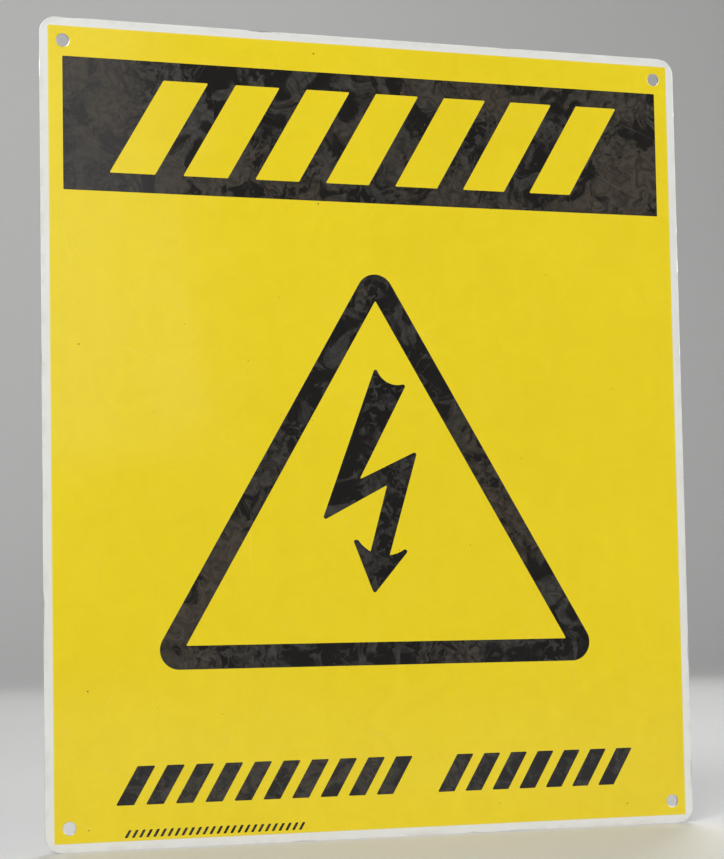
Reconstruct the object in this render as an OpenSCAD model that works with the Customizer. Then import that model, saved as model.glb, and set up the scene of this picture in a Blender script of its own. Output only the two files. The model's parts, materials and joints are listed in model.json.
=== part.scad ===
// Electrical hazard sign plate: a punched aluminium sheet, enamelled white on its face,
// with a yellow field and black marks screen-printed over the enamel.
//
// Frame: +Z is up, +X is to the right for someone reading the sign, and the printed face
// looks along -Y. The origin is the centre of the sheet's bare back.
// Each coat lies face to face on the one behind it, and the fixing holes go through them all.

/* [Sheet] */
// Width of the sheet
sheet_w = 254; // [200:1:400]
// Height of the sheet
sheet_h = 304.8; // [254:0.1:450]
// Thickness of the aluminium
sheet_t = 1.016; // [0.5:0.001:3.2]
// Radius of the sheet's corners
corner_r = 6.35; // [1:0.05:9]

/* [Fixing holes] */
// Diameter of a punched hole
hole_d = 4.76; // [3:0.01:7]
// From the sheet's edges to the centre of the nearest hole
hole_inset = 8.7; // [6:0.1:10]

/* [Coats] */
// Thickness of the white enamel
white_t = 0.05; // [0.02:0.01:0.2]
// Thickness of the yellow ink
yellow_t = 0.05; // [0.02:0.01:0.2]
// Thickness of the black ink
black_t = 0.05; // [0.02:0.01:0.2]
// White border left round the yellow field
border_w = 3.2; // [1:0.1:5]

/* [Header panel] */
// From the yellow field's side edges to the panel
panel_side_gap = 5.3; // [2:0.1:15]
// From the yellow field's top edge to the panel
panel_top_gap = 11.3; // [10:0.1:20]
// Height of the panel
panel_h = 49.6; // [30:0.1:60]
// Number of leaning bars knocked out of the panel
bar_count = 7; // [3:1:9]
// Width of one bar
bar_w = 17; // [6:0.5:20]
// From the panel's ends to the nearest bar
bar_end_gap = 17; // [6:0.5:26]
// From the panel's long edges to the bars
bar_edge_gap = 7; // [3:0.1:12]

/* [Warning triangle] */
// Inner side of the triangle
triangle_side = 150; // [110:1:180]
// Width of its black band
triangle_band = 8.7; // [4:0.1:14]
// Radius of its outer corners
triangle_corner_r = 7.3; // [1:0.1:14]
// How far it stands above the middle of the space between the header and the legend
triangle_rise = 3.5; // [-6:0.1:6]

/* [Flash arrow] */
// From the triangle's inner top corner down to the arrow
arrow_top_gap = 26.5; // [22:0.1:45]
// From the triangle's inner base up to the arrow's point
arrow_foot_gap = 18; // [10:0.1:40]
// Radius that the ink leaves at the arrow's tips
arrow_tip_r = 0.8; // [0.1:0.1:1]

/* [Legend] */
// Height of the legend's ticks
legend_h = 14; // [8:0.5:20]
// From the yellow field's lower edge up to the legend
legend_foot_gap = 12.9; // [8:0.1:24]
// Width of one tick
tick_w = 6.6; // [2:0.1:8]
// Number of ticks in the left group
left_tick_count = 10; // [3:1:12]
// Number of ticks in the right group
right_tick_count = 7; // [2:1:8]
// Space between the two groups
group_gap = 9.7; // [5:0.1:16]

/* [Fine print] */
// Height of the fine print's ticks
fine_h = 2.8; // [1.5:0.1:4]
// From the yellow field's lower edge up to the fine print
fine_foot_gap = 1.2; // [0.5:0.1:3]
// From the legend's left end to the fine print
fine_indent = 3; // [0:0.5:20]
// Width of one fine tick
fine_tick_w = 1.1; // [0.5:0.1:2]
// Gap between two fine ticks
fine_tick_gap = 1.5; // [0.5:0.1:3]
// Number of fine ticks
fine_tick_count = 26; // [5:1:40]

/* [Hidden] */
$fn = 96;

// How far every bar and tick leans from upright
lean = 30;

// Depth of each layer's rear face in front of the bare back
white_depth = sheet_t;
yellow_depth = white_depth + white_t;
black_depth = yellow_depth + yellow_t;

field_w = sheet_w - 2 * border_w;
field_h = sheet_h - 2 * border_w;

panel_w = field_w - 2 * panel_side_gap;
panel_top = field_h / 2 - panel_top_gap;
panel_foot = panel_top - panel_h;

// The header's bars and the legend share one width, so their ends line up
row_w = panel_w - 2 * bar_end_gap;
row_left = -row_w / 2;
bar_h = panel_h - 2 * bar_edge_gap;
bar_pitch = (row_w - bar_w - run(bar_h)) / (bar_count - 1);

legend_foot = legend_foot_gap - field_h / 2;
legend_top = legend_foot + legend_h;
// The two groups share one pitch, worked out so that they and their gap fill the row
tick_pitch = (row_w - group_gap - 2 * (tick_w + run(legend_h)))
    / (left_tick_count + right_tick_count - 2);
right_group_w = (right_tick_count - 1) * tick_pitch + tick_w + run(legend_h);

fine_foot = fine_foot_gap - field_h / 2;

// From the triangle's centre to its inner sides and to its inner corners
inner_apothem = triangle_side / (2 * sqrt(3));
inner_reach = triangle_side / sqrt(3);
// The band's rounded top and flat foot, from the same centre
band_top = 2 * (inner_apothem + triangle_band) - triangle_corner_r;
band_foot = -inner_apothem - triangle_band;
triangle_z = (panel_foot + legend_top) / 2 + triangle_rise - (band_top + band_foot) / 2;

arrow_h = inner_apothem + inner_reach - arrow_top_gap - arrow_foot_gap;
arrow_z = triangle_z - inner_apothem + arrow_foot_gap;

// The arrow is drawn this high from its point, then scaled to fit the triangle
arrow_drawn_h = 85.4;
// Zigzag of the flash, whose shaft runs on into the arrow's head
flash_outline = [
    [0, 88], // top left
    [13.4, 83], // top right
    [-7.5, 43.5], // upper notch
    [15.8, 54.6], // right spike
    [2.5, 10], // foot of the shaft
    [-5.4, 10],
    [3.4, 41.4], // lower notch
    [-22.5, 27.7] // left spike
];
// Round scoop out of the flash's top
scoop_centre = [8.2, 88.2];
scoop_r = 8.5;
// Point and two barbs of the head
head_outline = [[-2.5, 0], [11.6, 16.6], [-10.6, 21]];
// Round hollow behind the barbs
hollow_centre = [2.5, 27.7];
hollow_r = 13;

aluminium = [0.78, 0.79, 0.80];
white = [0.88, 0.88, 0.86];
yellow = [0.92, 0.82, 0.12];
black = [0.11, 0.11, 0.10];

// How far a mark of height h runs sideways from its foot to its top
function run(h) = h * tan(lean);

// Outline of the sheet, with its rounded corners
module sheet_outline() {
    inner_w = sheet_w - 2 * corner_r;
    inner_h = sheet_h - 2 * corner_r;
    square([sheet_w, inner_h], center = true);
    square([inner_w, sheet_h], center = true);
    for (x = [-inner_w / 2, inner_w / 2], z = [-inner_h / 2, inner_h / 2])
        translate([x, z]) circle(corner_r);
}

// The four fixing holes
module fixing_holes() {
    x = sheet_w / 2 - hole_inset;
    z = sheet_h / 2 - hole_inset;
    for (side = [-1, 1], end = [-1, 1])
        translate([side * x, end * z]) circle(d = hole_d);
}

// One flat layer: the children's outline, with X across and Y up, stood upright, t thick,
// its rear face at the given depth in front of the bare back, and the fixing holes through it
module layer(depth, t) {
    translate([0, -depth, 0])
        rotate([90, 0, 0])
            linear_extrude(t)
                difference() {
                    children();
                    fixing_holes();
                }
}

// A row of equal leaning marks, its lower left corner at the origin
module leaning_row(count, w, h, pitch) {
    for (i = [0 : count - 1])
        translate([i * pitch, 0])
            polygon([[0, 0], [w, 0], [w + run(h), h], [run(h), h]]);
}

// The triangle inside the band, about its centre
module inner_triangle() {
    polygon([
        [0, inner_reach],
        [triangle_side / 2, -inner_apothem],
        [-triangle_side / 2, -inner_apothem]
    ]);
}

// The flash and its barbed head, drawn with sharp tips above the head's point
module sharp_arrow() {
    difference() {
        polygon(flash_outline);
        translate(scoop_centre) circle(scoop_r);
    }
    difference() {
        polygon(head_outline);
        translate(hollow_centre) circle(hollow_r);
    }
}

module sheet_blank() {
    color(aluminium) layer(0, sheet_t) sheet_outline();
}

module white_enamel() {
    color(white) layer(white_depth, white_t) sheet_outline();
}

module yellow_field() {
    color(yellow) layer(yellow_depth, yellow_t) square([field_w, field_h], center = true);
}

module header_panel() {
    color(black)
        layer(black_depth, black_t)
            difference() {
                translate([-panel_w / 2, panel_foot]) square([panel_w, panel_h]);
                translate([row_left, panel_foot + bar_edge_gap])
                    leaning_row(bar_count, bar_w, bar_h, bar_pitch);
            }
}

module warning_triangle() {
    color(black)
        layer(black_depth, black_t)
            translate([0, triangle_z])
                difference() {
                    offset(r = triangle_corner_r)
                        offset(delta = triangle_band - triangle_corner_r)
                            inner_triangle();
                    inner_triangle();
                }
}

module flash_arrow() {
    color(black)
        layer(black_depth, black_t)
            translate([0, arrow_z])
                scale(arrow_h / arrow_drawn_h)
                    offset(r = arrow_tip_r)
                        offset(delta = -arrow_tip_r)
                            sharp_arrow();
}

module legend_left_ticks() {
    color(black)
        layer(black_depth, black_t)
            translate([row_left, legend_foot])
                leaning_row(left_tick_count, tick_w, legend_h, tick_pitch);
}

module legend_right_ticks() {
    color(black)
        layer(black_depth, black_t)
            translate([row_left + row_w - right_group_w, legend_foot])
                leaning_row(right_tick_count, tick_w, legend_h, tick_pitch);
}

module fine_print_ticks() {
    color(black)
        layer(black_depth, black_t)
            translate([row_left + fine_indent, fine_foot])
                leaning_row(fine_tick_count, fine_tick_w, fine_h, fine_tick_w + fine_tick_gap);
}

sheet_blank();
white_enamel();
yellow_field();
header_panel();
warning_triangle();
flash_arrow();
legend_left_ticks();
legend_right_ticks();
fine_print_ticks();
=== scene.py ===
import json
import math

import bmesh
import bpy
import numpy as np
from mathutils import Matrix, Vector
from mathutils.geometry import delaunay_2d_cdt


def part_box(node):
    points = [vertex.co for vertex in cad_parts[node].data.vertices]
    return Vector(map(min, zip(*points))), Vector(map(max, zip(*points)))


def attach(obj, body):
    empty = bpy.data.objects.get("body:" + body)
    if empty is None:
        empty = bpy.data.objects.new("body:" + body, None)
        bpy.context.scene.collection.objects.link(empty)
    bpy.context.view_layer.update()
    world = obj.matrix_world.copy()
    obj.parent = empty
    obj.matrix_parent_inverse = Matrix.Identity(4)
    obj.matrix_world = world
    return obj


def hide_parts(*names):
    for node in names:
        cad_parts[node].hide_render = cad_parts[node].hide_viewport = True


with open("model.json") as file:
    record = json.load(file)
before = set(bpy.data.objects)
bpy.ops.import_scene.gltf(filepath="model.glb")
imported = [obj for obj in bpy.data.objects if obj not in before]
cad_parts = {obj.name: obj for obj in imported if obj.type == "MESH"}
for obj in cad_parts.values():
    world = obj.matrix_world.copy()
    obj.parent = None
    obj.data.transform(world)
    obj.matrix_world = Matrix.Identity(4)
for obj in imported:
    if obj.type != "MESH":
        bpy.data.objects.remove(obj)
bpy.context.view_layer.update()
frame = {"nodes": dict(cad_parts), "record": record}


# The sheet: aluminium, die cut from coil with rounded corners and a hole punched near each one. The
# die goes in from the printed side, so a cut edge rolls over there, shines where the die rubbed it,
# breaks rough behind that, and ends in a fine burr on the back.
MM = 0.001

sheet_lo, sheet_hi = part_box("sheet_blank")
back_y = sheet_hi.y
face_y = sheet_lo.y
top_edge = [v.co.x for v in frame["nodes"]["sheet_blank"].data.vertices
            if v.co.z > sheet_hi.z - 0.01 * MM]
corner_r = sheet_hi.x - max(top_edge)
corner_steps = 24

holes = next(m for m in frame["record"]["mounts"] if m["name"] == "corner_holes")["dims"]
hole_x = holes["spacing_x_mm"] / 2 * MM
hole_z = holes["spacing_y_mm"] / 2 * MM
hole_r = holes["hole_r_mm"] * MM
hole_steps = 64

roll_drop = 0.11 * MM  # how far the face turns down at a cut edge
roll_reach = 0.22 * MM  # how fast that dies away from the edge
roll_insets = [0, 0.04 * MM, 0.1 * MM, 0.2 * MM, 0.38 * MM, 0.7 * MM, 1.1 * MM, 1.7 * MM]
burr_h = 0.03 * MM
burr_w = 0.05 * MM
bow_h = 0.22 * MM  # how deep the sheet's gentle hollow is, from its years in a stack
twist_h = 0.10 * MM

sheet_cell = 8 * MM  # side of the even triangles across a flat face
row_pitch = 0.866  # their rows lie this share of a side apart
rim_clearance = 0.45  # and they start this share of a side in from a rim
cap_margin = 1e-9  # points closer than this become one, which none of them are
crease_angle = math.radians(40)  # an edge that turns more than this stays crisp
cut_facing = 0.5  # a face that looks forward or back by less than this is part of the cut


def arc(centre, radius, start, stop, steps):
    """Points along an arc, its angles in degrees, counted from +X towards +Z."""
    angles = np.radians(np.linspace(start, stop, steps + 1))
    return [(centre[0] + radius * math.cos(a), centre[1] + radius * math.sin(a)) for a in angles]


def sheet_outline():
    """The sheet's outline, with the metal on the left of someone walking along it."""
    x, z = sheet_hi.x - corner_r, sheet_hi.z - corner_r
    centres = [(x, z), (-x, z), (-x, -z), (x, -z)]
    return [p for i, c in enumerate(centres)
            for p in arc(c, corner_r, 90 * i, 90 * i + 90, corner_steps)]


def hole_outlines():
    """The four holes, each walked so that the metal is again on the left."""
    return [arc((sx * hole_x, sz * hole_z), hole_r, 360, 0, hole_steps)[:-1]
            for sx in (-1, 1) for sz in (-1, 1)]


def stepped(outline, spacing):
    """The outline with its long sides cut into even steps, so that they follow the bow."""
    p = np.array(outline)
    out = []
    for here, after in zip(p, np.roll(p, -1, 0)):
        count = max(1, round(math.dist(here, after) / spacing))
        out += [here + (after - here) * k / count for k in range(count)]
    return out


def moved_in(outline, distance):
    """The outline moved into the metal by a distance, with mitred corners."""
    p = np.array(outline)
    along = np.roll(p, -1, 0) - p
    along /= np.linalg.norm(along, axis=1)[:, None]
    after = np.stack([-along[:, 1], along[:, 0]], 1)
    before = np.roll(after, 1, 0)
    mitre = 1 + (before * after).sum(1)
    return p + distance * (before + after) / mitre[:, None]


def rolled(y):
    """The profile of a surface at depth y as it turns down to a cut edge, from the edge in."""
    return [(d, y + roll_drop * math.exp(-d / roll_reach)) for d in roll_insets]


def sides(outlines):
    """Where every side of the outlines starts and stops."""
    starts = np.concatenate([np.array(o) for o in outlines])
    stops = np.concatenate([np.roll(np.array(o), -1, 0) for o in outlines])
    return starts, stops


def in_material(place, starts, stops):
    """True where a place is in the material, with an odd number of sides to its right."""
    x, z = place
    spans = (starts[:, 1] > z) != (stops[:, 1] > z)
    rise = np.where(spans, stops[:, 1] - starts[:, 1], 1)
    crossing = starts[:, 0] + (z - starts[:, 1]) / rise * (stops[:, 0] - starts[:, 0])
    return (spans & (x < crossing)).sum() % 2 == 1


def side_distance(place, starts, stops):
    """How far a place is from the nearest side."""
    along = stops - starts
    t = ((place - starts) * along).sum(1) / (along ** 2).sum(1)
    nearest = starts + np.clip(t, 0, 1)[:, None] * along
    return np.linalg.norm(nearest - place, axis=1).min()


def add_cap(mesh, rings, depth, spacing):
    """Fills the rings of a flat face with even triangles, and leaves its holes open."""
    starts, stops = sides([[(v.co.x, v.co.z) for v in ring] for ring in rings])
    flat = [v for ring in rings for v in ring]
    lo, hi = starts.min(0), starts.max(0)
    for row, z in enumerate(np.arange(lo[1] + spacing / 2, hi[1], spacing * row_pitch)):
        for x in np.arange(lo[0] + spacing * (0.5 + row % 2 / 2), hi[0], spacing):
            if not in_material((x, z), starts, stops):
                continue
            if side_distance((x, z), starts, stops) > spacing * rim_clearance:
                flat.append(mesh.verts.new((x, depth, z)))
    edges = []
    for ring in rings:
        first = len(edges)
        edges += [(first + i, first + (i + 1) % len(ring)) for i in range(len(ring))]
    places = [Vector((v.co.x, v.co.z)) for v in flat]
    for triangle in delaunay_2d_cdt(places, edges, [], 1, cap_margin)[2]:
        middle = sum((places[i] for i in triangle), Vector((0, 0))) / 3
        if in_material(middle, starts, stops):
            mesh.faces.new([flat[i] for i in triangle])


def bow(x, z):
    """How far the sheet and its coats stand back at a place, as it isn't quite flat."""
    u, v = x / sheet_hi.x, z / sheet_hi.z
    hollow = (1 - u * u) * (1 - v * v)
    return bow_h * hollow + twist_h * u * v * (1 - abs(u)) * (1 - abs(v)) * 4


def flat_piece(name, rims, spacing, materials):
    """A closed flat solid. Each rim is an outline with its profile, a list of insets and depths
    that runs from the rear face to the front one."""
    mesh = bmesh.new()
    rears, fronts = [], []
    for outline, profile in rims:
        steps = stepped(outline, spacing)
        rings = [[mesh.verts.new((x, depth, z)) for x, z in moved_in(steps, inset)]
                 for inset, depth in profile]
        for low, high in zip(rings, rings[1:]):
            for i in range(len(low)):
                j = (i + 1) % len(low)
                mesh.faces.new([low[i], low[j], high[j], high[i]])
        rears.append(rings[0])
        fronts.append(rings[-1])
    add_cap(mesh, rears, rims[0][1][0][1], spacing)
    add_cap(mesh, fronts, rims[0][1][-1][1], spacing)
    bmesh.ops.recalc_face_normals(mesh, faces=mesh.faces)
    for face in mesh.faces:
        face.smooth = True
        if len(materials) > 1 and abs(face.normal.y) < cut_facing:
            face.material_index = 1
    for edge in mesh.edges:
        edge.smooth = edge.calc_face_angle() < crease_angle
    for ring in rears + fronts:
        for i, vert in enumerate(ring):
            mesh.edges.get((ring[i - 1], vert)).smooth = False
    for vert in mesh.verts:
        vert.co.y += bow(vert.co.x, vert.co.z)
    data = bpy.data.meshes.new(name)
    mesh.to_mesh(data)
    mesh.free()
    for material in materials:
        data.materials.append(material)
    piece = bpy.data.objects.new(name, data)
    bpy.context.scene.collection.objects.link(piece)
    return piece


class Value:
    """One output of a material's nodes. Arithmetic on it adds the nodes that work it out."""

    def __init__(self, socket):
        self.socket = socket
        self.tree = socket.id_data

    def node(self, kind, settings, inputs, output=0):
        """Any other node: its settings go in first, then its sockets' values or links."""
        made = self.tree.nodes.new(kind)
        for name, setting in settings.items():
            setattr(made, name, setting)
        for key, value in inputs.items():
            if isinstance(value, Value):
                self.tree.links.new(value.socket, made.inputs[key])
            else:
                made.inputs[key].default_value = value
        return Value(made.outputs[output])

    def maths(self, operation, *operands):
        return self.node("ShaderNodeMath", {"operation": operation}, dict(enumerate(operands)))

    def __add__(self, other):
        return self.maths("ADD", self, other)

    def __radd__(self, other):
        return self.maths("ADD", other, self)

    def __sub__(self, other):
        return self.maths("SUBTRACT", self, other)

    def __rsub__(self, other):
        return self.maths("SUBTRACT", other, self)

    def __mul__(self, other):
        return self.maths("MULTIPLY", self, other)

    def __rmul__(self, other):
        return self.maths("MULTIPLY", other, self)

    def __pow__(self, other):
        return self.maths("POWER", self, other)

    def __lt__(self, other):
        return self.maths("LESS_THAN", self, other)

    def __abs__(self):
        return self.maths("ABSOLUTE", self)

    def at_least(self, other):
        return self.maths("MAXIMUM", self, other)

    def at_most(self, other):
        return self.maths("MINIMUM", self, other)

    def eased(self, start, stop):
        """0 up to start, 1 from stop on, and a smooth step between them. start may be higher."""
        return self.node("ShaderNodeMapRange", {"interpolation_type": "SMOOTHSTEP"},
                         {"Value": self, "From Min": start, "From Max": stop})

    def part(self, axis):
        """One coordinate of a place, or one channel of a colour."""
        return self.node("ShaderNodeSeparateXYZ", {}, {0: self}, axis)

    def turned(self, degrees):
        """The place turned in the plane of the sheet."""
        return self.node("ShaderNodeVectorRotate", {"rotation_type": "Z_AXIS"},
                         {"Vector": self, "Angle": math.radians(degrees)})

    def cells(self, across, up, out, seed=0):
        """The place counted in cells of a given size. Each seed counts from a corner of its own."""
        return self.node("ShaderNodeVectorMath", {"operation": "MULTIPLY_ADD"},
                         {0: self, 1: (1 / across, 1 / up, 1 / out),
                          2: (31.7 * seed, 17.3 * seed, 0)})

    def noise(self, across, up, detail, rough, seed=0, out=None, swirl=0.0):
        """Soft noise from 0 to 1. Its blotches have a size in millimetres."""
        cells = self.cells(across, up, out or 1.0, seed)
        return self.node("ShaderNodeTexNoise", {"noise_dimensions": "3D" if out else "2D"},
                         {"Vector": cells, "Scale": 1, "Detail": detail, "Roughness": rough,
                          "Distortion": swirl})

    def nearest(self, output):
        """The nearest of the points strewn one to a cell: its Distance, Position or Color."""
        return self.node("ShaderNodeTexVoronoi", {"voronoi_dimensions": "2D"},
                         {"Vector": self, "Scale": 1}, output)

    def dots(self, apart, radius, share, seed):
        """1 in round dots, at most one to a cell and only in a share of the cells."""
        cells = self.cells(apart, apart, 1, seed)
        chance = cells.nearest("Color")
        size = radius / apart
        away = cells.nearest("Distance") + size * 0.5 * chance.part(1)
        return away.eased(size, size * 0.6) * (chance.part(0) < share)

    def scratches(self, degrees, length, width, share, seed):
        """Fine scratches at an angle, slightly bent, and no two equally long and deep."""
        apart = length / 5
        cells = self.turned(degrees).cells(length, apart, 1, seed)
        chance = cells.nearest("Color")
        away = cells.node("ShaderNodeVectorMath", {"operation": "SUBTRACT"},
                          {0: cells, 1: cells.nearest("Position")})
        along = away.part(0)
        bend = (chance.part(1) - 0.5) * along * along * 1.2
        line = abs(away.part(1) + (chance.part(2) - 0.5) * along + bend) * apart
        depth = (share - chance.part(0)).at_least(0) * (1 / share)
        reach = 0.12 + 0.30 * depth
        return line.eased(width * (0.3 + 0.7 * depth), 0) * abs(along).eased(reach, 0) * depth


def colours(factor, low, high):
    """A blend of two colours, each a colour or a node's output."""
    return factor.node("ShaderNodeMix", {"data_type": "RGBA"}, {0: factor, 6: low, 7: high}, 2)


def shader(name, constants):
    """A material, and the place on the sign in millimetres: across, up and forward of its back."""
    material = bpy.data.materials.new(name)
    material.use_nodes = True
    principled = material.node_tree.nodes["Principled BSDF"]
    for socket, value in constants.items():
        principled.inputs[socket].default_value = value
    where = Value(principled.outputs["BSDF"]).node("ShaderNodeTexCoord", {}, {}, "Object")
    upright = where.node("ShaderNodeVectorRotate", {"rotation_type": "X_AXIS"},
                         {"Vector": where, "Angle": math.radians(-90)})
    return material, upright.cells(MM, MM, MM)


def finished(material, colour, roughness, relief, metallic=None):
    """Links what varies over the material's surface. Its relief is in millimetres."""
    bump = relief.node("ShaderNodeBump", {}, {"Distance": MM, "Height": relief})
    varied = {"Base Color": colour, "Roughness": roughness, "Normal": bump}
    if metallic:
        varied["Metallic"] = metallic
    for socket, value in varied.items():
        target = material.node_tree.nodes["Principled BSDF"].inputs[socket]
        material.node_tree.links.new(value.socket, target)
    return material


def edge_distance(place):
    """Millimetres from the sheet's nearest outer edge, round its corners too."""
    radius = corner_r / MM
    over_x = abs(place.part(0)) - (sheet_hi.x / MM - radius)
    over_z = abs(place.part(1)) - (sheet_hi.z / MM - radius)
    reach = (over_x.at_least(0) ** 2 + over_z.at_least(0) ** 2) ** 0.5
    return radius - reach - over_x.at_least(over_z).at_most(0)


def hole_distance(place):
    """Millimetres from the rim of the nearest hole."""
    off_x = abs(place.part(0)) - hole_x / MM
    off_z = abs(place.part(1)) - hole_z / MM
    return (off_x ** 2 + off_z ** 2) ** 0.5 - hole_r / MM


def mill_finish():
    """The bare back: fine rolling lines up the sheet, rubbed patches and a few scratches."""
    material, place = shader("mill_finish_aluminium", {"Metallic": 1.0})
    fine_lines = place.noise(0.22, 24, 3.0, 0.6)
    broad_lines = place.noise(2.6, 220, 4.0, 0.65, 3)
    cloud = place.noise(45, 70, 3.0, 0.5, 5)
    smudge = place.noise(34, 60, 4.0, 0.55, 9).eased(0.45, 0.80)
    scratches = (place.scratches(12, 60, 0.16, 0.55, 11)
                 .at_least(place.scratches(-38, 34, 0.14, 0.5, 13))
                 .at_least(place.scratches(71, 90, 0.16, 0.55, 17)))
    specks = place.dots(14, 0.3, 0.15, 19)
    rubbed = edge_distance(place).at_most(hole_distance(place)).eased(0.9, 0.05)
    tone = 0.3 * fine_lines + 0.55 * broad_lines + 0.2 * cloud
    colour = colours(tone, (0.44, 0.45, 0.46, 1), (0.88, 0.89, 0.90, 1))
    colour = colours(smudge * 0.18, colour, (0.46, 0.46, 0.45, 1))
    colour = colours(specks * 0.5, colour, (0.22, 0.22, 0.21, 1))
    colour = colours(scratches.at_least(rubbed * 0.4), colour, (0.95, 0.95, 0.95, 1))
    roughness = 0.26 + 0.10 * broad_lines + 0.14 * smudge + 0.06 * cloud - 0.06 * rubbed
    relief = 0.004 * fine_lines + 0.25 * place.noise(70, 90, 1.0, 0.4, 21) - 0.004 * scratches
    return finished(material, colour, roughness, relief)


def cut_edge():
    """The cut round the sheet and its holes: rubbed bright towards the face, broken behind."""
    material, place = shader("cut_aluminium_edge", {"Metallic": 1.0})
    wander = place.noise(1.6, 1.6, 3.0, 0.6, 2, 50)
    broken = (place.part(2) + 0.3 * wander).eased(0.62, 0.52)
    drag = place.noise(0.12, 0.12, 3.0, 0.6, 4, 1.2)
    grit = place.noise(0.09, 0.09, 3.0, 0.6, 8, 0.09)
    colour = colours(broken, (0.80, 0.80, 0.81, 1), (0.56, 0.56, 0.57, 1))
    colour = colours(drag * 0.5, colour, (0.66, 0.66, 0.67, 1))
    roughness = 0.32 + 0.24 * broken + 0.12 * drag
    return finished(material, colour, roughness, 0.012 * drag + 0.02 * grit * broken)


burr = [(burr_w, back_y), (burr_w * 0.4, back_y + burr_h), (0, back_y - burr_h)]
cut_profile = burr + rolled(face_y)
aluminium_sheet = flat_piece(
    "aluminium_sheet",
    [(outline, cut_profile) for outline in [sheet_outline(), *hole_outlines()]],
    sheet_cell,
    [mill_finish(), cut_edge()],
)
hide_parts("sheet_blank")
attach(aluminium_sheet, "root")


# The white coat: enamel baked over the whole face before the sheet was cut, so it rolls down with
# the metal at every edge. It shows as the border round the yellow.
white_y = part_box("white_enamel")[0].y


def sheet_wave(place):
    """The unevenness of the flat sheet under its coats, in millimetres."""
    return 0.16 * place.noise(42, 42, 1.0, 0.4, 22) + 0.5 * place.noise(120, 160, 0.0, 0.4, 24)


def white_enamel():
    """Off-white gloss with a faint orange peel, chipped to the metal here and there."""
    material, place = shader("white_enamel", {"IOR": 1.5})
    cloud = place.noise(24, 24, 3.0, 0.55)
    peel = place.noise(1.6, 1.6, 1.0, 0.5, 2)
    edge = edge_distance(place)
    ragged = place.noise(1.0, 1.0, 4.0, 0.65, 4)
    patches = place.noise(17, 17, 1.0, 0.5, 6)
    chips = (edge + 1.5 * (1 - ragged) + 3.2 * (1 - patches)).eased(2.02, 1.96)
    rim = edge.eased(0.35, 0.05)
    grime = edge.eased(2.6, 0.2) * place.noise(8, 8, 3.0, 0.6, 12).eased(0.42, 0.75)
    specks = place.dots(6, 0.18, 0.10, 15)
    colour = colours(cloud, (0.755, 0.755, 0.725, 1), (0.825, 0.825, 0.80, 1))
    colour = colours(grime * 0.35, colour, (0.52, 0.51, 0.46, 1))
    colour = colours(specks * 0.6, colour, (0.20, 0.19, 0.17, 1))
    colour = colours(rim * 0.25, colour, (0.62, 0.62, 0.62, 1))
    colour = colours(chips, colour, (0.80, 0.81, 0.82, 1))
    roughness = 0.10 + 0.08 * cloud + 0.2 * grime + 0.15 * chips
    relief = sheet_wave(place) + 0.004 * peel - 0.04 * chips
    return finished(material, colour, roughness, relief, chips)


def coat_profile(rear, front):
    """A coat that rolls over a cut edge: in along the metal to the edge, and back over it."""
    return rolled(rear)[::-1] + rolled(front)


white_coat = flat_piece(
    "white_coat",
    [(outline, coat_profile(face_y, white_y)) for outline in [sheet_outline(), *hole_outlines()]],
    sheet_cell,
    [white_enamel()],
)
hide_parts("white_enamel")
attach(white_coat, "root")


# The yellow field: a glossy ink film pulled through a screen over the enamel in one pass, so its
# edge is thin and soft, its colour drifts a little, and it has a few specks in it.
field_lo, field_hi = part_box("yellow_field")
yellow_y = field_lo.y
yellow_light = (0.905, 0.715, 0.019, 1)
yellow_deep = (0.775, 0.580, 0.009, 1)
ink_corner_r = 0.45 * MM
ink_corner_steps = 6
ink_corner_share = 0.4  # a rounded corner takes up at most this share of a side
ink_edge_w = 0.10 * MM
curve_turn = math.radians(20)  # an outline that turns less than this at a point is on a curve


def ink_profile(rear, front):
    """A printed edge: it stands up from what it lies on and slumps over to the film's face."""
    t = front - rear
    return [(0, rear), (ink_edge_w * 0.15, rear + 0.55 * t), (ink_edge_w * 0.5, rear + 0.88 * t),
            (ink_edge_w, front)]


def softened(outline):
    """The outline with each sharp corner rounded, as ink leaves it. Curves stay as they are."""
    p = [Vector(q) for q in outline]
    out = []
    for i, here in enumerate(p):
        before, after = p[i - 1] - here, p[(i + 1) % len(p)] - here
        turn = math.pi - before.angle(after)
        if turn < curve_turn:
            out.append(tuple(here))
            continue
        room = ink_corner_share * min(before.length, after.length)
        back = min(ink_corner_r * math.tan(turn / 2), room)
        start = here + before.normalized() * back
        stop = here + after.normalized() * back
        for k in range(ink_corner_steps + 1):
            t = k / ink_corner_steps
            q = start * (1 - t) ** 2 + here * 2 * t * (1 - t) + stop * t * t
            out.append(tuple(q))
    return out


def ink_wear(place, seed):
    """Fine handling scratches in three directions."""
    return (place.scratches(24, 46, 0.14, 0.26, seed)
            .at_least(place.scratches(-52, 30, 0.12, 0.22, seed + 1))
            .at_least(place.scratches(84, 60, 0.13, 0.26, seed + 2)))


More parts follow.
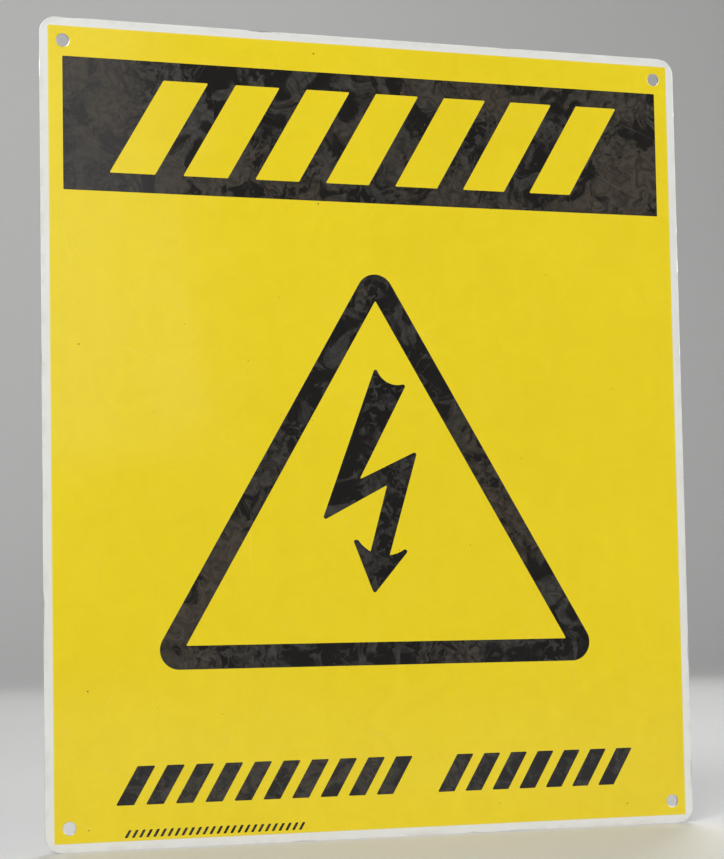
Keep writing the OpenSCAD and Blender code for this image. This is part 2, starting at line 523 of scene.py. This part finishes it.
def yellow_ink():
    """Bright yellow gloss, swirled a little lighter and darker, thin at its edge, and worn to the
    metal in spots round the holes. It has specks, and pinholes where the white shows through."""
    material, place = shader("yellow_screen_ink", {"IOR": 1.5})
    drift = place.noise(90, 90, 2.0, 0.5)
    pulled = place.noise(7, 160, 2.0, 0.55, 2)
    mottle = place.noise(1.5, 1.5, 2.0, 0.6, 4)
    swirl = place.noise(15, 15, 4.0, 0.62, 6, swirl=1.2)
    field = ((field_hi.x / MM - abs(place.part(0)))
             .at_most(field_hi.z / MM - abs(place.part(1))))
    thin = (field + 0.25 * mottle).eased(0.75, 0.10)
    ragged = place.noise(0.8, 0.8, 2.0, 0.6, 8)
    bare = (hole_distance(place) + 0.35 * ragged).eased(0.33, 0.25)
    scratches = ink_wear(place, 30)
    smudge = place.noise(26, 26, 4.0, 0.6, 10).eased(0.46, 0.72)
    specks = place.dots(30, 0.42, 0.16, 14).at_least(place.dots(12, 0.22, 0.07, 16))
    misses = place.dots(18, 0.25, 0.10, 18)
    tone = (0.4 * drift + 0.15 * pulled + 0.15 * mottle + 0.5 * swirl).at_most(1)
    colour = colours(tone, yellow_deep, yellow_light)
    colour = colours(thin * 0.30, colour, (0.80, 0.74, 0.30, 1))
    colour = colours(scratches * 0.45, colour, (0.92, 0.82, 0.24, 1))
    colour = colours(specks * 0.85, colour, (0.10, 0.06, 0.012, 1))
    colour = colours(misses * 0.8, colour, (0.80, 0.74, 0.42, 1))
    colour = colours(bare, colour, (0.66, 0.66, 0.66, 1))
    roughness = 0.08 + 0.09 * smudge + 0.03 * mottle + 0.20 * scratches + 0.15 * bare
    relief = sheet_wave(place) + 0.003 * mottle - 0.003 * scratches
    return finished(material, colour, roughness, relief, bare * 0.9)


field_corners = [(field_hi.x, field_lo.z), (field_hi.x, field_hi.z),
                 (field_lo.x, field_hi.z), (field_lo.x, field_lo.z)]
yellow_print = flat_piece(
    "yellow_print",
    [(softened(field_corners), ink_profile(white_y, yellow_y))]
    + [(outline, coat_profile(white_y, yellow_y)) for outline in hole_outlines()],
    sheet_cell,
    [yellow_ink()],
)
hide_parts("yellow_field")
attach(yellow_print, "root")


# The header panel: black gloss ink, screened over the yellow in the last pass. Seven leaning bars
# are left out of it, and the yellow shows through them.
black_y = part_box("header_panel")[0].y
weld = 0.001 * MM  # corners closer than this are one
panel_cell = 6 * MM


def face_outlines(node):
    """The outlines of a CAD node's front face, each with the ink on its left."""
    mesh = bmesh.new()
    mesh.from_mesh(frame["nodes"][node].data)
    bmesh.ops.remove_doubles(mesh, verts=mesh.verts, dist=weld)
    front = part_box(node)[0].y
    faces = [f for f in mesh.faces if all(abs(v.co.y - front) < weld for v in f.verts)]
    following = {}
    for face in faces:
        for loop in face.loops:
            if sum(f in faces for f in loop.edge.link_faces) == 1:
                following[loop.vert] = loop.link_loop_next.vert
    outlines = []
    while following:
        vert = next(iter(following))
        outline = []
        while vert in following:
            outline.append((vert.co.x, vert.co.z))
            vert = following.pop(vert)
        outlines.append(outline)
    mesh.free()
    return outlines


def black_ink():
    """Black gloss with pinholes and scuffs. Painted reflections lie on it in marbled patches, lighter
    grey in some places and warm in others, where the ink is also a little rougher; between them it
    stays deep black and glossy."""
    material, place = shader("black_screen_ink", {"IOR": 1.5})
    drift = place.noise(70, 70, 2.0, 0.5, 1)
    mottle = place.noise(1.3, 1.3, 2.0, 0.6, 3)
    patches = (place.noise(10, 10, 5.0, 0.62, 5, swirl=0.6) + 0.5 * drift).eased(0.68, 0.80)
    marbling = place.noise(5, 5, 3.0, 0.6, 13, swirl=1.6).eased(0.30, 0.68)
    beads = place.noise(3.2, 3.2, 2.0, 0.6, 17, swirl=0.4).eased(0.53, 0.60)
    beaded = place.noise(34, 34, 2.0, 0.5, 19).eased(0.42, 0.60)
    # Painted reflection: marbled patches where the black's colour is lifted to a lighter grey or warm
    # tone, and where its roughness also rises
    painted_sheen = patches * (0.45 + 0.55 * marbling)
    painted_sheen = painted_sheen * (1 - 0.75 * beads * beaded) + 0.7 * beads * beaded * (1 - patches)
    scratches = ink_wear(place, 60)
    pinholes = place.dots(10, 0.18, 0.09, 7)
    dust = place.dots(5, 0.12, 0.05, 9)
    colour = colours(drift, (0.0056, 0.0054, 0.0050, 1), (0.0100, 0.0082, 0.0064, 1))
    # The two colours of the painted reflections, a grey one and a warm one
    painted_sheen_colour = colours(drift.eased(0.35, 0.65), (0.043, 0.042, 0.038, 1), (0.056, 0.045, 0.033, 1))
    colour = colours(painted_sheen, colour, painted_sheen_colour)
    colour = colours(scratches * 0.55, colour, (0.14, 0.13, 0.12, 1))
    colour = colours(dust * 0.30, colour, (0.30, 0.29, 0.26, 1))
    colour = colours(pinholes * 0.7, colour, yellow_deep)
    roughness = 0.06 + 0.16 * painted_sheen + 0.03 * mottle + 0.20 * scratches
    relief = sheet_wave(place) + 0.003 * mottle - 0.003 * scratches
    return finished(material, colour, roughness, relief)


printed_black = black_ink()


def black_mark(name, node, spacing):
    """One black mark over its CAD node's own outline."""
    rims = [(softened(outline), ink_profile(yellow_y, black_y)) for outline in face_outlines(node)]
    piece = flat_piece(name, rims, spacing, [printed_black])
    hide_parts(node)
    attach(piece, "root")


black_mark("header_print", "header_panel", panel_cell)


# The warning triangle and its flash, in the same black ink: an even band with round outer corners
# and sharp inner ones, and inside it the barbed lightning flash of an electrical hazard.
band_cell = 4 * MM

black_mark("triangle_print", "warning_triangle", band_cell)
black_mark("flash_arrow_print", "flash_arrow", band_cell)


# The legend and the fine print: rows of leaning ticks in the same black ink, where such a sign says
# what its hazard is and who made it.
tick_cell = 3 * MM
fine_tick_cell = 1 * MM

black_mark("legend_left_print", "legend_left_ticks", tick_cell)
black_mark("legend_right_print", "legend_right_ticks", tick_cell)
black_mark("fine_print_line", "fine_print_ticks", fine_tick_cell)


# The studio: a pale matt floor, on which the sign stands on its lower edge, that sweeps up into a
# pale wall all the way round.
floor_r = 2.2
sweep_r = 1.6
wall_h = 4.5
floor_steps = 6
sweep_steps = 16
turn_steps = 96


def studio_bowl():
    """The floor and wall, turned as one smooth surface round the sign."""
    profile = [(floor_r * k / floor_steps, 0) for k in range(floor_steps + 1)]
    for k in range(1, sweep_steps + 1):
        a = math.radians(90 * k / sweep_steps)
        profile.append((floor_r + sweep_r * math.sin(a), sweep_r * (1 - math.cos(a))))
    profile.append((floor_r + sweep_r, wall_h))
    mesh = bmesh.new()
    middle = mesh.verts.new((0, 0, sheet_lo.z))
    angles = [2 * math.pi * k / turn_steps for k in range(turn_steps)]
    rings = [[mesh.verts.new((r * math.cos(a), r * math.sin(a), sheet_lo.z + h)) for a in angles]
             for r, h in profile[1:]]
    for i in range(turn_steps):
        j = (i + 1) % turn_steps
        mesh.faces.new([middle, rings[0][i], rings[0][j]])
        for low, high in zip(rings, rings[1:]):
            mesh.faces.new([low[j], low[i], high[i], high[j]])
    data = bpy.data.meshes.new("studio")
    mesh.to_mesh(data)
    mesh.free()
    data.shade_smooth()
    material, place = shader("pale_floor", {"Specular IOR Level": 0.2})
    grain = place.noise(3, 3, 2.0, 0.6, 0, 3)
    shade = place.noise(500, 500, 1.0, 0.5, 3, 500)
    colour = colours(0.4 * grain + 0.6 * shade, (0.62, 0.62, 0.61, 1), (0.68, 0.68, 0.67, 1))
    data.materials.append(finished(material, colour, 0.5 + 0.2 * grain, 0.02 * grain))
    bowl = bpy.data.objects.new("studio", data)
    bpy.context.scene.collection.objects.link(bowl)


studio_bowl()


# The lights: soft boxes in front of the sign, to its side and behind it, and one that fills the wall.
# They are kept out of sight, and a dim, cool air fills the shadows.
light_spread = math.radians(115)


def soft_light(name, place, aim, width, height, power, colour=(1, 1, 1), roll=0):
    """A soft box that faces a point, rolled a few degrees about its aim."""
    data = bpy.data.lights.new(name, "AREA")
    data.shape = "RECTANGLE"
    data.size, data.size_y = width, height
    data.energy = power
    data.spread = light_spread
    data.color = colour
    light = bpy.data.objects.new(name, data)
    light.location = place
    facing = (Vector(aim) - Vector(place)).to_track_quat("-Z", "Y").to_matrix()
    light.rotation_euler = (facing @ Matrix.Rotation(math.radians(roll), 3, "Z")).to_euler()
    light.visible_camera = False
    bpy.context.scene.collection.objects.link(light)


soft_light("key_box", (-1.1, -1.5, 1.5), (0, 0, 0), 1.2, 1.2, 15.5)
soft_light("fill_box", (1.7, -1.5, 0.9), (0, 0, 0), 1.0, 1.4, 5.2, (1.0, 0.98, 0.95))
soft_light("rear_box", (0.9, 1.9, 1.4), (0, 0, 0), 1.2, 1.2, 11)
soft_light("sheen_box", (-0.1, -2.3, 0.8), (0, 0, 0), 0.9, 1.4, 1.4, roll=14)
soft_light("wall_box", (0, 1.4, 2.8), (0, 3.8, 0.9), 2.4, 1.0, 14)

air = bpy.data.worlds.new("studio_air")
air.use_nodes = True
air_light = air.node_tree.nodes["Background"].inputs
air_light["Color"].default_value = (0.95, 0.97, 1.0, 1)
air_light["Strength"].default_value = 0.32
bpy.context.scene.world = air
bpy.context.scene.view_settings.view_transform = "Standard"


# The camera: a long lens close in front of the sign, to its left and a little below its middle, so
# it looks across the face and slightly up.
camera_place = Vector((-0.2191, -0.7135, -0.0731))
ahead = Vector((0.2851, 0.9566, 0.0605)).normalized()
right = ahead.cross(Vector((-0.0002, -0.0631, 0.998))).normalized()
up = right.cross(ahead)

camera_data = bpy.data.cameras.new("camera")
camera_data.sensor_width = 36
camera_data.lens = 82.54
camera_data.shift_y = 0.09
camera = bpy.data.objects.new("camera", camera_data)
facing = Matrix((right, up, -ahead)).transposed().to_4x4()
camera.matrix_world = Matrix.Translation(camera_place) @ facing
bpy.context.scene.collection.objects.link(camera)
bpy.context.scene.camera = camera
